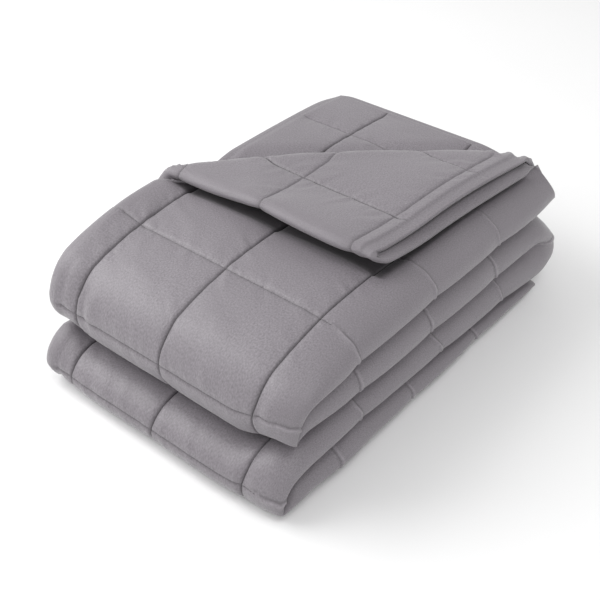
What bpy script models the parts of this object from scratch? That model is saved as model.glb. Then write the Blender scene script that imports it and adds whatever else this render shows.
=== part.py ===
"""A quilted weighted blanket, folded and lying flat, with one corner of its top turned over.

The cloth is quartered lengthwise, so that a strip of four layers results: its rounded fold is on
the right, the other fold and the two hems are on the left. The strip is folded in four, back and
forth, and the upper pair of the top strip's layers is turned over along a diagonal crest.

The blanket is one closed solid: a band of cloth with an outer and an inner face and a rim. Each row
of PATH is a station along the strip, and each station carries the same section of four layers.
Sizes are in millimetres until the mesh is made. X runs across the strip, Y along it, Z up.
"""

import bisect
import math

import bmesh
import bpy
import numpy as np

NAME = "blanket"
MM = 0.001
SAME = 1e-6  # numbers closer together than this count as the same

# The cloth
SEAM_PITCH_X = 117.0
SEAM_PITCH_Y = 122.0
SEAM_DEPTH = 4.0
SEAM_WIDTH = 4.5
CROWN = 3.4
CROWN_POWER = 2.5
HEM_REACH = 15.0  # how far from its edge the pockets are at their full height
HEM_SINK = 3.6  # how much thinner a face is within the hem
DEEPEST = 0.17  # the most that a face sinks, as a share of the strip's thickness
LAYER_GAP = 0.035  # between two layers, as a share of the strip's thickness

# The strip's section
LEFT = -26.0  # where the layers' flat stretch starts
RIGHT = 200.0  # where it ends and the right-hand fold starts
FOLD_BULGE = 17.0  # how far the left-hand fold stands out from LEFT
FOLD_WALL = 9.0
FOLD_ANGLES = (25, 65, 115, 155)
FOLD_POWER = 0.8
UPPER_HEM = -40.0
LOWER_HEM = -43.0
CORNER_POWER = 2.4
NEST = 21.0  # how far the inner fold's end lies inside the outer one
PINCH = 3.5  # how far a sewn line draws the right-hand fold in
FOLD_SIDE = (225.0, 260.0)  # where the right-hand fold's face turns into its side
SIDE = (205.0, 265.0)  # where the strip's shape turns into that of its right-hand side

# The top strip's turned corner
CREST = 87.5  # halfway along, the layers start to bend where y = x + CREST
BEND_REACH = 600.0  # x + y at the crest's far end
BEND = (
    # share of the reach, y - x where the bend starts, its radius, the room under the flap
    (0.0, 96.5, 6.0, 1.0),
    (0.12, 94.5, 8.5, 3.0),
    (0.28, 88.0, 14.0, 8.0),
    (0.5, 87.5, 16.0, 9.0),
    (0.72, 87.5, 14.6, 9.0),
    (0.88, 87.0, 13.0, 9.0),
    (1.0, 86.0, 12.5, 8.0),
)
FAN_RAMP = (60.0, 366.0)  # where the left edge spreads towards the free end
PAIR_MIDDLE = 0.25  # where the middle of the upper pair of layers is, on the way to face B
FLAP_HALF = 7.6  # half the thickness of the pair of layers, once it is turned over
BACK_RISE = 24.0  # how far the lower pair swells up, as if to face A, where the upper pair has gone
RISE_RAMP = (50.0, 100.0)  # the stretch behind the crest where it does
END_SLANT = 16.0  # how far the free end falls back along the right-hand fold
SLANT_RAMP = (200.0, 280.0)
FAN_SIDE = (-30.0, 100.0)  # the stretch across the strip that spreads
END_RAMP = (150.0, 366.0)
TAUT = 0.5  # how much of the relief is lost round the crest
TAUT_AT = 20.0  # how far past the bend's start it is lost most

# Where the stack rests: flat within a rounded outline, and rising a little beyond it
FOOT_MIDDLE = (87.0, 133.0)
FOOT_HALF = (113.0, 217.0)
FOOT_POWER = 3.0
FOOT_SLOPE = 8.0  # the rise for each further half width
FOOT_LIFT = 0.6  # the most that it rises

# Where the points of the section lie across a layer, and along the top strip
GRID = 19.5
END_CLEARANCE = 5.0  # the closest that one lies to a layer's end
STEPS = range(-5, 12)
GROOVE = 4.5  # the points on both sides of a sewn line
POCKETS = range(-1, 3)
COARSE = (0.0, 58.5, 117.0, 175.5)
UNDER_FLAP = 85.0  # how far beyond the crest the layers facing down keep the close grid
UNDER_CREST = 25.0  # how far before it the layers facing up have it
FINE_FOLD = (0.2, 0.34, 0.42, 0.5, 0.68, 0.85, 0.96)
COARSE_FOLD = (0.4, 0.75, 0.95)
HIDDEN_FOLD = (0.6,)
CORNER_FOLD = (0.35, 0.6, 0.85)  # on the hidden faces where the crest meets the right-hand fold
CORNER_START = 250.0
TOP_STATIONS = (
    366.0, 356.0, 347.0, 342.0, 337.0, 320.0, 303.0, 290.0, 285.0, 280.0, 264.0, 249.0, 244.0,
    239.0, 225.0, 220.0, 215.0, 196.0, 180.0, 168.0, 163.0, 158.0, 142.0, 127.0, 122.0, 117.0,
    103.0, 98.0, 93.0, 75.0, 55.0, 35.0, 18.0, 5.0, 0.0,
)
HALFWAY_AFTER = (19, 20, 28, 29, 30, 47, 48)  # rows of PATH with a station halfway to the next

# The middle of the stack, which becomes the origin
MIDDLE = (115.4, 137.5)

COLOUR = (0.33, 0.305, 0.325, 1.0)
ROUGHNESS = 0.7
SHARP_ANGLE = math.radians(50)  # edges sharper than this stay sharp in the shading

# Stations from the top strip's free end to the bottom strip's. The seam column marks a sewn line
# across the strip. Face A is the top of the top strip, face B its underside, and both are followed
# round the folds. The tip is the right-hand fold's extreme, at the share lean of the way to face B.
PATH = (
    # seam, A y, A z, B y, B z, tip, lean
    (0, 366.0, 150.0, 372.0, 113.0, 277.0, 0.75),
    (0, 330.0, 153.0, 330.0, 116.5, 280.5, 0.84),
    (1, 244.0, 158.0, 244.0, 119.0, 281.0, 0.85),
    (1, 122.0, 160.0, 122.0, 120.5, 281.0, 0.85),
    (0, 58.0, 161.0, 58.0, 120.5, 281.0, 0.85),
    (1, 0.0, 156.0, 0.0, 120.0, 281.0, 0.85),
    (0, -32.0, 149.0, -25.0, 117.5, 281.0, 0.85),
    (0, -57.0, 141.5, -40.0, 113.8, 281.0, 0.85),
    (0, -70.0, 136.0, -47.0, 111.0, 280.5, 0.85),
    (0, -83.0, 125.0, -52.0, 108.8, 280.0, 0.85),
    (0, -94.0, 109.0, -55.0, 107.0, 279.0, 0.85),
    (1, -98.5, 95.0, -56.0, 105.4, 278.0, 0.85),
    (0, -96.5, 80.0, -55.5, 104.0, 277.0, 0.80),
    (0, -90.0, 68.0, -54.0, 103.2, 276.0, 0.75),
    (0, -83.0, 59.0, -50.0, 104.5, 275.0, 0.68),
    (0, -72.0, 54.0, -44.0, 107.3, 273.0, 0.5),
    (0, -52.0, 54.5, -32.0, 111.8, 274.0, 0.35),
    (0, -25.0, 62.0, -14.0, 114.8, 277.0, 0.2),
    (1, 5.0, 71.0, 10.0, 116.0, 279.0, 0.15),
    (0, 60.0, 77.5, 60.0, 116.8, 280.0, 0.15),
    (1, 122.0, 79.0, 122.0, 117.0, 280.0, 0.15),
    (1, 244.0, 79.0, 244.0, 116.0, 280.0, 0.15),
    (0, 300.0, 78.0, 300.0, 114.0, 280.0, 0.18),
    (0, 320.0, 77.5, 338.0, 110.0, 281.0, 0.22),
    (0, 328.0, 77.0, 368.0, 99.0, 283.0, 0.35),
    (1, 331.0, 76.0, 384.0, 79.0, 284.0, 0.5),
    (0, 328.0, 75.0, 376.0, 59.0, 283.0, 0.65),
    (0, 320.0, 74.5, 348.0, 48.5, 281.0, 0.8),
    (0, 300.0, 74.5, 300.0, 45.5, 280.0, 0.85),
    (1, 262.0, 75.5, 270.0, 45.5, 280.0, 0.85),
    (1, 135.0, 75.5, 150.0, 45.0, 280.0, 0.85),
    (0, 60.0, 73.5, 66.0, 43.5, 280.0, 0.85),
    (1, 8.0, 68.0, 15.0, 38.0, 280.0, 0.85),
    (0, -25.0, 58.5, -20.0, 32.0, 279.0, 0.82),
    (0, -52.0, 51.0, -45.0, 28.5, 278.0, 0.78),
    (0, -72.0, 50.0, -62.0, 26.5, 278.0, 0.75),
    (0, -85.0, 48.5, -70.0, 25.5, 278.0, 0.72),
    (0, -100.0, 44.0, -74.0, 24.8, 278.0, 0.7),
    (0, -111.0, 35.5, -76.0, 24.0, 278.0, 0.7),
    (1, -117.0, 25.0, -77.0, 23.2, 278.0, 0.7),
    (0, -116.5, 15.0, -76.5, 22.4, 278.0, 0.68),
    (0, -110.0, 6.0, -74.5, 21.8, 278.0, 0.65),
    (0, -99.0, 1.0, -71.0, 21.6, 278.0, 0.6),
    (0, -87.0, 0.0, -66.0, 21.8, 279.0, 0.5),
    (0, -60.0, 0.0, -48.0, 24.5, 280.0, 0.5),
    (1, -27.0, 0.0, -24.0, 29.0, 284.0, 0.42),
    (0, 20.0, 0.0, 15.0, 35.0, 282.0, 0.42),
    (1, 95.0, 0.0, 95.0, 41.0, 282.0, 0.42),
    (1, 217.0, 0.0, 217.0, 42.5, 281.0, 0.5),
    (0, 350.0, 0.0, 350.0, 42.0, 280.0, 0.5),
)
SEAM, A_Y, A_Z, B_Y, B_Z, TIP, LEAN, SIDE_A_Y, SIDE_A_Z, SIDE_B_Y, SIDE_B_Z = range(11)

# The rows of PATH that differ at the right-hand side: there the outer layer wraps the near folds
# like an ear, with the strip behind it starting at a slit, and the far fold hangs lower
RIGHT_SIDE = (
    # row, A y, A z, B y, B z
    (7, -57.0, 142.0, -56.0, 117.5),
    (8, -70.0, 137.0, -67.0, 116.0),
    (9, -83.0, 128.0, -72.0, 112.0),
    (10, -92.0, 117.0, -74.0, 106.0),
    (11, -96.0, 106.0, -75.5, 99.0),
    (12, -96.0, 94.0, -77.0, 92.0),
    (13, -92.0, 84.0, -79.0, 86.0),
    (14, -85.0, 76.5, -80.0, 82.0),
    (15, -78.0, 74.5, -76.5, 90.0),
    (16, -60.0, 75.0, -68.0, 112.0),
    (17, -25.0, 78.0, -30.0, 116.3),
    (18, 5.0, 80.0, 10.0, 117.0),
    (19, 60.0, 78.5, 60.0, 117.0),
    (20, 122.0, 77.0, 122.0, 117.0),
    (21, 244.0, 73.5, 244.0, 116.0),
    (22, 300.0, 73.0, 300.0, 112.0),
    (23, 318.0, 73.0, 343.0, 106.0),
    (24, 322.0, 72.5, 376.0, 88.0),
    (25, 324.0, 72.0, 397.0, 61.0),
    (26, 322.0, 71.0, 398.0, 36.0),
    (27, 316.0, 70.5, 373.0, 20.5),
    (28, 300.0, 70.5, 310.0, 24.0),
    (29, 262.0, 71.0, 270.0, 28.5),
    (30, 135.0, 74.0, 150.0, 36.0),
    (31, 60.0, 75.0, 66.0, 42.0),
    (32, 8.0, 75.0, 10.0, 44.0),
    (33, -25.0, 73.5, -22.0, 42.0),
    (34, -52.0, 71.5, -50.0, 39.5),
    (35, -74.0, 72.0, -68.0, 37.5),
    (36, -91.0, 66.0, -80.0, 35.0),
    (37, -104.0, 55.0, -87.0, 32.0),
    (38, -112.0, 41.0, -91.0, 28.0),
    (39, -115.0, 28.0, -94.0, 24.0),
    (40, -114.0, 17.0, -98.0, 19.5),
    (41, -110.0, 8.0, -101.0, 15.0),
    (42, -104.0, 3.0, -97.0, 18.0),
    (43, -94.0, 0.5, -84.0, 29.0),
    (44, -66.0, 0.0, -62.0, 36.0),
    (45, -27.0, 0.0, -24.0, 38.5),
    (46, 20.0, 0.0, 15.0, 41.0),
    (47, 95.0, 0.0, 95.0, 37.0),
    (48, 217.0, 0.0, 217.0, 28.0),
    (49, 346.0, 3.0, 346.0, 19.0),
)
TOP_ROWS = 7  # rows of PATH in the top strip
TOP_END = 5  # the last of them with the close grid
UPPER_LOBE_END = 16
FAR_FOLD = (22, 28)
LOWER_LOBE = (33, 44)
UNDERSIDE_START = 43
# How much of the quilting's relief face A keeps from row to row: it fades where the cloth is pressed
PRESSED = {"rows": (12, 14, 33, 35, 40, 42), "keeps": (1.0, 0.25, 0.25, 1.0, 1.0, 0.0)}
# How much face A differs at the left-hand edge, row by row: how much higher it stands, and how far
# the lower lobe's foot falls back
LEFT_RISE = {
    "rows": (3, 4, 9, 11, 12, 13, 14, 15, 16, 17, 18, 32, 33, 34, 35, 36, 37, 38, 39),
    "rises": (0.0, 6.5, 6.5, 3.0, 5.0, 9.0, 9.0, 8.0, 6.0, 3.0, 0.0, 0.0, 3.0, 6.0, 8.0, 11.0, 8.0, 4.0, 0.0),
}
LEFT_BACK = {"rows": (38, 39, 40, 41, 43, 45), "steps": (0.0, 1.0, 4.0, 8.0, 9.0, 0.0)}
LEFT_RAMP = (-35.0, 15.0)  # where across the strip these differences fade

# How far each layer's free end stands from the top layer's
END_STEPS = {"bottom": 14.0, "top": 4.0, "second": -6.0, "third": 20.0}
# How far its left edge spreads out at the free end
FANS = {"bottom": 8.0, "top": 18.0, "second": 18.0, "third": 7.0}
# Where the lengthwise and crosswise sewn lines of each layer lie in the top strip
SEAM_STARTS = {"bottom": (0.0, 0.0), "top": (0.0, 0.0), "second": (27.0, 98.0), "third": (42.0, 285.0)}

# The cloth is followed across the strip from the lower hem, and each stretch is one unit of "match"
BOTTOM, OUTER_FOLD, TOP, LEFT_FOLD, SECOND, INNER_FOLD, THIRD = range(7)
LAYER_NAMES = ("bottom", "top", "top", "top", "second", "second", "third", "third")


def path_rows():
    """PATH with the four columns for the strip's right-hand side."""
    rows = [list(row) + list(row[A_Y : B_Z + 1]) for row in PATH]
    for row, *side in RIGHT_SIDE:
        rows[row][SIDE_A_Y:] = side
    return np.array(rows)


def distances(rows):
    """The distance along the strip of each row, midway between its faces."""
    steps = np.diff(rows[:, [A_Y, A_Z, B_Y, B_Z]], axis=0)
    face_a = np.hypot(steps[:, 0], steps[:, 1])
    face_b = np.hypot(steps[:, 2], steps[:, 3])
    return np.concatenate([[0.0], np.cumsum((face_a + face_b) / 2)])


def slopes(rows, lengths):
    """The slope of each column at each row, from the parabola through it and its neighbours."""
    run = np.diff(lengths)[:, None]
    rise = np.diff(rows, axis=0) / run
    inner = (run[1:] * rise[:-1] + run[:-1] * rise[1:]) / (run[1:] + run[:-1])
    return np.vstack([rise[:1], inner, rise[-1:]])


ROWS = path_rows()
LENGTHS = distances(ROWS)
SLOPES = slopes(ROWS, LENGTHS)
SEAM_LENGTHS = LENGTHS[ROWS[:, SEAM] > 0]
TOP_STRIP_LENGTH = LENGTHS[TOP_END] + SAME


def station(length):
    """The columns of ROWS at this distance along the strip, on a smooth curve through its rows."""
    row = min(max(bisect.bisect_right(LENGTHS, length) - 1, 0), len(LENGTHS) - 2)
    run = LENGTHS[row + 1] - LENGTHS[row]
    share = (length - LENGTHS[row]) / run
    rest = 1 - share
    return (
        (1 + 2 * share) * rest**2 * ROWS[row]
        + share * rest**2 * run * SLOPES[row]
        + share**2 * (3 - 2 * share) * ROWS[row + 1]
        - share**2 * rest * run * SLOPES[row + 1]
    )


def smooth(value, start, end):
    """0 before start, 1 after end, and an even turn between."""
    share = min(max((value - start) / (end - start), 0.0), 1.0)
    return share * share * (3 - 2 * share)


def seam_distance(position, start, pitch):
    return abs((position - start + pitch / 2) % pitch - pitch / 2)


def drawn_in(distance, pitch):
    """1 on a sewn line, 0 in the middle of a pocket."""
    return max(1 - 2 * distance / pitch, 0.0) ** CROWN_POWER


def relief(across, along):
    """How deep the face lies under a pocket's crown, from the distances to the nearest sewn lines."""
    crown = 1 - (1 - drawn_in(across, SEAM_PITCH_X)) * (1 - drawn_in(along, SEAM_PITCH_Y))
    crease = max(math.exp(-across / SEAM_WIDTH), math.exp(-along / SEAM_WIDTH))
    return CROWN * crown + SEAM_DEPTH * crease


def superellipse(share):
    return 1 - (1 - share**CORNER_POWER) ** (1 / CORNER_POWER)


def layer(start, left, depth, rightwards, places):
    """A layer's flat stretch, as a list of (match, x, depth)."""
    inside = [x for x in places if left + END_CLEARANCE < x < RIGHT - END_CLEARANCE]
    points = [((x - left) / (RIGHT - left), x) for x in [left, *inside, RIGHT]]
    if rightwards:
        return [(start + share, x, depth) for share, x in points]
    return [(start + 1 - share, x, depth) for share, x in reversed(points)]


def right_fold(start, nest, row, first_shares, second_shares):
    """The right-hand fold, nest of the way from the outermost face to the middle.

    The outer fold runs from face B to face A, and the inner one back.
    """
    tip = row[TIP] - nest * NEST
    points = []
    halves = [(share, 0) for share in first_shares] + [(1.0, 1)]
    halves += [(share, 1) for share in reversed(second_shares)]
    for share, half in halves:
        bend = superellipse(share)
        on_face_b = (half == 0) == (start == OUTER_FOLD)
        depth = 1 - (1 - row[LEAN]) * bend if on_face_b else row[LEAN] * bend
        turn = math.asin(share) / math.pi
        match = start + (1 - turn if half else turn)
        points.append((match, RIGHT + (tip - RIGHT) * share, depth + (0.5 - depth) * nest))
    return points


def left_fold():
    """The outer face of the fold between the top layer and the second."""
    points = []
    for angle in FOLD_ANGLES:
        turn = math.radians(angle)
        depth = (0.5 - LAYER_GAP / 2) * (1 - math.cos(turn)) / 2
        points.append((LEFT_FOLD + angle / 180, LEFT - FOLD_BULGE * math.sin(turn) ** FOLD_POWER, depth))
    return points


def outer_face(row, places, shares, inner_shares):
    """The face of the cloth that shows, from the lower hem to the upper one."""
    gap = LAYER_GAP / 2
    return (
        layer(BOTTOM, LOWER_HEM, 1.0, True, places["bottom"])
        + right_fold(OUTER_FOLD, 0.0, row, COARSE_FOLD, shares)
        + layer(TOP, LEFT, 0.0, False, places["top"])
        + left_fold()
        + layer(SECOND, LEFT, 0.5 - gap, True, places["second"])
        + right_fold(INNER_FOLD, 1 - 2 * gap, row, inner_shares, ())
        + layer(THIRD, UPPER_HEM, 0.5 + gap, False, places["third"])
    )


def inner_face(row, places, shares):
    """The other face, from the lower hem to the upper one."""
    gap = LAYER_GAP / 2
    return (
        layer(BOTTOM, LOWER_HEM, 0.75 + gap, True, places["hidden"])
        + right_fold(OUTER_FOLD, 0.5 - 2 * gap, row, shares, shares)
        + layer(TOP, LEFT, 0.25 - gap, False, places["inside pair"])
        + [(LEFT_FOLD + 0.5, LEFT - FOLD_BULGE + FOLD_WALL, 0.25)]
        + layer(SECOND, LEFT, 0.25 + gap, True, places["inside pair"])
        + right_fold(INNER_FOLD, 0.5 + 2 * gap, row, shares, shares)
        + layer(THIRD, UPPER_HEM, 0.75 - gap, False, places["hidden"])
    )


def top_height(x, y):
    """The height of the top strip's upper face."""
    row = station(top_length(y))
    share = min(max((x - RIGHT) / (row[TIP] - RIGHT), 0.0), 1.0)
    return row[A_Z] - row[LEAN] * superellipse(share) * (row[A_Z] - row[B_Z])


def top_length(y):
    """The distance along the strip at which the top strip's face A is at this y."""
    return float(np.interp(-y, -ROWS[:TOP_ROWS, A_Y], LENGTHS[:TOP_ROWS]))


def past_crest(x, y, start=CREST):
    """The distance from the line y = x + start, along which the corner starts to bend."""
    return (y - x - start) / math.sqrt(2)


def turned_over(x, y, middle, above):
    """The place of a point of the top strip's upper pair of layers, once its corner is turned over.

    middle is the height of the pair's middle there, and above is how far the point lies over it.
    """
    shares, *columns = zip(*BEND)
    start, radius, clearance = (np.interp((x + y) / BEND_REACH, shares, column) for column in columns)
    past = past_crest(x, y, start)
    if past <= 0:
        return x, y, middle + above
    angle = min(past / radius, math.pi)
    beyond = max(past - math.pi * radius, 0.0)
    back = past + beyond - (radius - above) * math.sin(angle)
    new_x = x + back / math.sqrt(2)
    new_y = y - back / math.sqrt(2)
    round_crest = middle + radius - (radius - above) * math.cos(angle)
    flattened = FLAP_HALF - above * FLAP_HALF * 4 / (ROWS[0, A_Z] - ROWS[0, B_Z])
    lying = top_height(new_x, new_y) + clearance + flattened
    return new_x, new_y, round_crest + (lying - round_crest) * smooth(angle, math.pi / 2, math.pi)


def sunk(match, x, y, length, in_top_strip):
    """How far the outer face lies under a pocket's crown here, in millimetres."""
    name = LAYER_NAMES[int(match)]
    along = np.abs(SEAM_LENGTHS - length).min()
    start_x, start_y = SEAM_STARTS[name]
    if in_top_strip and name in ("second", "third"):
        along = seam_distance(y, start_y, SEAM_PITCH_Y)
    depth = relief(seam_distance(x, start_x, SEAM_PITCH_X), along)
    if match > OUTER_FOLD + 0.5:
        depth *= np.interp(length, LENGTHS[list(PRESSED["rows"])], PRESSED["keeps"])
    to_hem = HEM_REACH
    if int(match) == THIRD:
        to_hem = x - UPPER_HEM
    if int(match) == BOTTOM:
        to_hem = x - LOWER_HEM
    if in_top_strip:
        to_hem = min(to_hem, ROWS[0, A_Y] - y)
        depth *= 1 - TAUT * math.exp(-((past_crest(x, y) / TAUT_AT - 1) ** 2))
    puffed = smooth(to_hem, 0, HEM_REACH)
    return depth * puffed + HEM_SINK * (1 - puffed)


def free_end(match, x, y):
    """How far the cloth shifts along the strip near the top strip's free end."""
    steps = END_STEPS[LAYER_NAMES[int(match)]]
    return (steps - END_SLANT * smooth(x, *SLANT_RAMP)) * smooth(y, *END_RAMP)


def left_difference(length, x):
    """How far back face A is here, and how much higher, than in the strip's middle."""
    back = np.interp(length, LENGTHS[list(LEFT_BACK["rows"])], LEFT_BACK["steps"])
    rise = np.interp(length, LENGTHS[list(LEFT_RISE["rows"])], LEFT_RISE["rises"])
    return np.array([back, rise]) * (1 - smooth(x, *LEFT_RAMP))


def foot_rise(x, y):
    """How far the underside is from the ground."""
    aside = abs(x - FOOT_MIDDLE[0]) / FOOT_HALF[0]
    along = abs(y - FOOT_MIDDLE[1]) / FOOT_HALF[1]
    beyond = math.hypot(aside ** (FOOT_POWER / 2), along ** (FOOT_POWER / 2)) ** (2 / FOOT_POWER) - 1
    return min(max(FOOT_SLOPE * beyond, 0.0), FOOT_LIFT)


def place(length, match, x, depth, outer):
    """The point in space, in millimetres, of an outline point of the section at this length."""
    row = station(length)
    to_side = smooth(x, *SIDE)
    a_y, a_z, b_y, b_z = row[A_Y : B_Z + 1] * (1 - to_side) + row[SIDE_A_Y:] * to_side
    a_y, a_z = (a_y, a_z) + left_difference(length, x)
    if length >= LENGTHS[UNDERSIDE_START]:
        a_z += foot_rise(x, a_y)
    thickness = math.hypot(row[A_Y] - row[B_Y], row[A_Z] - row[B_Z])
    in_top_strip = length <= TOP_STRIP_LENGTH
    stretch = int(match)
    on_fold = smooth(x, *FOLD_SIDE)
    shows = stretch in (BOTTOM, OUTER_FOLD, TOP, LEFT_FOLD) or in_top_strip and stretch != INNER_FOLD
    if outer and shows:
        inwards = 1 if stretch == THIRD or OUTER_FOLD + 0.5 < match < LEFT_FOLD + 0.5 else -1
        sink = min(sunk(match, x, row[A_Y], length, in_top_strip) / thickness, DEEPEST)
        depth += inwards * sink * (1 - on_fold) * (stretch != LEFT_FOLD)
    x -= PINCH * on_fold * drawn_in(np.abs(SEAM_LENGTHS - length).min(), SEAM_PITCH_Y)
    y = a_y + (b_y - a_y) * depth
    z = a_z + (b_z - a_z) * depth
    if in_top_strip:
        y += free_end(match, x, row[A_Y])
        x -= FANS[LAYER_NAMES[stretch]] * (1 - smooth(x, *FAN_SIDE)) * smooth(row[A_Y], *FAN_RAMP)
        upper_pair = OUTER_FOLD + 0.5 < match < INNER_FOLD + 0.5
        if upper_pair:
            middle = a_z + (b_z - a_z) * PAIR_MIDDLE
            x, y, z = turned_over(x, y, middle, z - middle)
        else:
            z += BACK_RISE * (1 - depth) * smooth(past_crest(x, y), *RISE_RAMP)
    return x - MIDDLE[0], y - MIDDLE[1], z


def stations():
    """The lengths of the sections: a close grid in the top strip, the rows of PATH elsewhere."""
    lengths = [top_length(y) for y in TOP_STATIONS]
    lengths += [float(value) for value in LENGTHS[TOP_END + 1 :]]
    lengths += [float(LENGTHS[row] + LENGTHS[row + 1]) / 2 for row in HALFWAY_AFTER]
    return sorted(lengths)


def grid(name):
    """Places across a layer: even steps from a sewn line, with one close to each side of it."""
    start = SEAM_STARTS[name][0]
    lines = [start + SEAM_PITCH_X * pocket for pocket in POCKETS]
    even = [start + GRID * step for step in STEPS]
    return sorted(even + [line + side for line in lines for side in (-GROOVE, GROOVE)])


def grid_between(places, low, high):
    """These places between low and high, and the coarse ones elsewhere."""
    outside = [x for x in COARSE if not low < x < high]
    return sorted(outside + [x for x in places if low < x < high])


def places_at(length):
    """Where the points of each layer lie across the strip, closer where the layer shows."""
    places = {name: COARSE if name in ("bottom", "top") else () for name in END_STEPS}
    places.update({"hidden": (), "inside pair": ()})
    if length <= TOP_STRIP_LENGTH:
        crest = station(length)[A_Y] - CREST
        bend = crest - UNDER_FLAP, crest + UNDER_CREST
        places["top"] = grid_between(grid("top"), bend[0], RIGHT)
        places["second"] = grid_between(grid("second"), LEFT, bend[1])
        places["third"] = grid_between(grid("third"), UPPER_HEM, bend[1])
        places["inside pair"] = grid_between([GRID * step for step in STEPS], *bend)
        places["hidden"] = COARSE
    elif length < LENGTHS[UPPER_LOBE_END] or LENGTHS[LOWER_LOBE[0]] < length < LENGTHS[LOWER_LOBE[1]]:
        places["top"] = grid("top")
    elif LENGTHS[FAR_FOLD[0]] <= length <= LENGTHS[FAR_FOLD[1]]:
        places["bottom"] = grid("bottom")
    return places


def fill_between(mesh, first, second):
    """Fills the space between two rows of (match, vertex), which may differ in number."""
    i = j = 0
    while i < len(first) - 1 or j < len(second) - 1:
        if j == len(second) - 1:
            step_first = True
        elif i == len(first) - 1:
            step_first = False
        else:
            difference = first[i + 1][0] - second[j + 1][0]
            rightwards = int(first[i][0] + SAME) in (BOTTOM, OUTER_FOLD, SECOND)
            step_first = difference < -SAME or (abs(difference) <= SAME and rightwards)
        if step_first:
            mesh.faces.new((first[i][1], first[i + 1][1], second[j][1]))
            i += 1
        else:
            mesh.faces.new((first[i][1], second[j + 1][1], second[j][1]))
            j += 1


def blanket_mesh():
    mesh = bmesh.new()
    sections = []
    for length in stations():
        row = station(length)
        places = places_at(length)
        fold_shares = FINE_FOLD if length < LENGTHS[UPPER_LOBE_END] else COARSE_FOLD
        at_corner = length <= TOP_STRIP_LENGTH and row[A_Y] > CORNER_START
        second, hidden = (CORNER_FOLD, CORNER_FOLD) if at_corner else ((), HIDDEN_FOLD)
        outlines = outer_face(row, places, fold_shares, second), inner_face(row, places, hidden)
        faces = []
        for outline, outer in zip(outlines, (True, False)):
            points = [(match, place(length, match, x, depth, outer)) for match, x, depth in outline]
            faces.append([(m, mesh.verts.new([value * MM for value in at])) for m, at in points])
        sections.append(faces)
    for outer, inner in (sections[0], sections[-1]):
        fill_between(mesh, outer, inner)
    for (outer, inner), (next_outer, next_inner) in zip(sections, sections[1:]):
        fill_between(mesh, outer, next_outer)
        fill_between(mesh, inner, next_inner)
        for end in (0, -1):
            rim = [outer[end][1], inner[end][1], next_inner[end][1], next_outer[end][1]]
            mesh.faces.new(rim[:3])
            mesh.faces.new((rim[0], rim[2], rim[3]))
    bmesh.ops.recalc_face_normals(mesh, faces=mesh.faces)
    if mesh.calc_volume(signed=True) < 0:
        bmesh.ops.reverse_faces(mesh, faces=mesh.faces)
    data = bpy.data.meshes.new(NAME)
    mesh.to_mesh(data)
    mesh.free()
    data.shade_smooth()
    data.set_sharp_from_angle(angle=SHARP_ANGLE)
    return data


def cloth_material():
    material = bpy.data.materials.new("grey cotton")
    material.use_nodes = True
    shader = material.node_tree.nodes["Principled BSDF"]
    shader.inputs["Base Color"].default_value = COLOUR
    shader.inputs["Roughness"].default_value = ROUGHNESS
    shader.inputs["Metallic"].default_value = 0.0
    return material


def main():
    for item in list(bpy.data.objects):
        bpy.data.objects.remove(item, do_unlink=True)
    parts = bpy.data.collections.new("weighted blanket")
    bpy.context.scene.collection.children.link(parts)
    blanket = bpy.data.objects.new(NAME, blanket_mesh())
    blanket.data.materials.append(cloth_material())
    parts.objects.link(blanket)


main()
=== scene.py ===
"""The folded weighted blanket as it looks: its quilted cloth, hems, sewing and creases, and the studio.

The cloth is a band with an outer and an inner face. Rows of points across the band are placed on the
frame's folded shape, closer together where the cloth shows, and the outer face is then puffed up
between its sewn lines. Sizes are in millimetres until the mesh is made. X runs across the folded
strip, Y along it, Z up.
"""

import bisect
import math

import bpy
import numpy as np
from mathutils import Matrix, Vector


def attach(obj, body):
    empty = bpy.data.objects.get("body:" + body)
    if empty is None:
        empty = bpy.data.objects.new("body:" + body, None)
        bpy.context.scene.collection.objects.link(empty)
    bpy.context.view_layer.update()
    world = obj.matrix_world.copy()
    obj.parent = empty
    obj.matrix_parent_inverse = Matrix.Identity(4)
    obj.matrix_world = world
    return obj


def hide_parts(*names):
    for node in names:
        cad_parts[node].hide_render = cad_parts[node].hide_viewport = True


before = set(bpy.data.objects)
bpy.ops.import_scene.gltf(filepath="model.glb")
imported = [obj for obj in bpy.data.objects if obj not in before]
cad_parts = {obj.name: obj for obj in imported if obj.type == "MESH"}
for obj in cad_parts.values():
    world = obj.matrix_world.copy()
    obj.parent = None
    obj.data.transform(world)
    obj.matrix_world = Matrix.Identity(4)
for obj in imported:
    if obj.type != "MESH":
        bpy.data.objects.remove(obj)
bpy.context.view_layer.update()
MM = 0.001
SEED = 7
SMALLEST = 1e-9  # the least length that anything is divided by

# The cloth
SEAM_PITCH_X = 117.0
SEAM_PITCH_Y = 122.0
SEAM_DEPTH = 3.2
SEAM_WIDTH = 1.2
CROSS_SEAM = 0.6  # how deep a sewn line across the strip is, next to one along it
CROWN = 2.4  # how much lower a pocket is at its edges than in its middle
CROWN_POWER = 3.0
HEM_WIDTH = 11.0
NO_HEM = 10 * HEM_WIDTH  # the distance given to points that are on no hem's layer
HEM_SINK = 3.0  # how much thinner a face is within the hem
HEM_EDGE = (9.0, 13.0)  # the distances from the hem's edge over which it thickens into the pockets
HEM_PUFF = (8.0, 23.0)  # and over which the pockets' relief grows
FOLD_KEEPS = 0.55  # how much of the sewn lines' relief the left-hand fold keeps
PUCKER = 0.5  # how high the cloth ripples beside a sewn line
PUCKER_REACH = 6.5  # how far from the line the ripples are highest
PUCKER_WAVES = (13.0, 18.5, 29.0)  # their lengths, mixed
PUCKER_SLANT = 0.61  # how far the ripples are shifted from one line to the next
LAYER_GAP = 0.035  # between two layers, as a share of the strip's thickness
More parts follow.
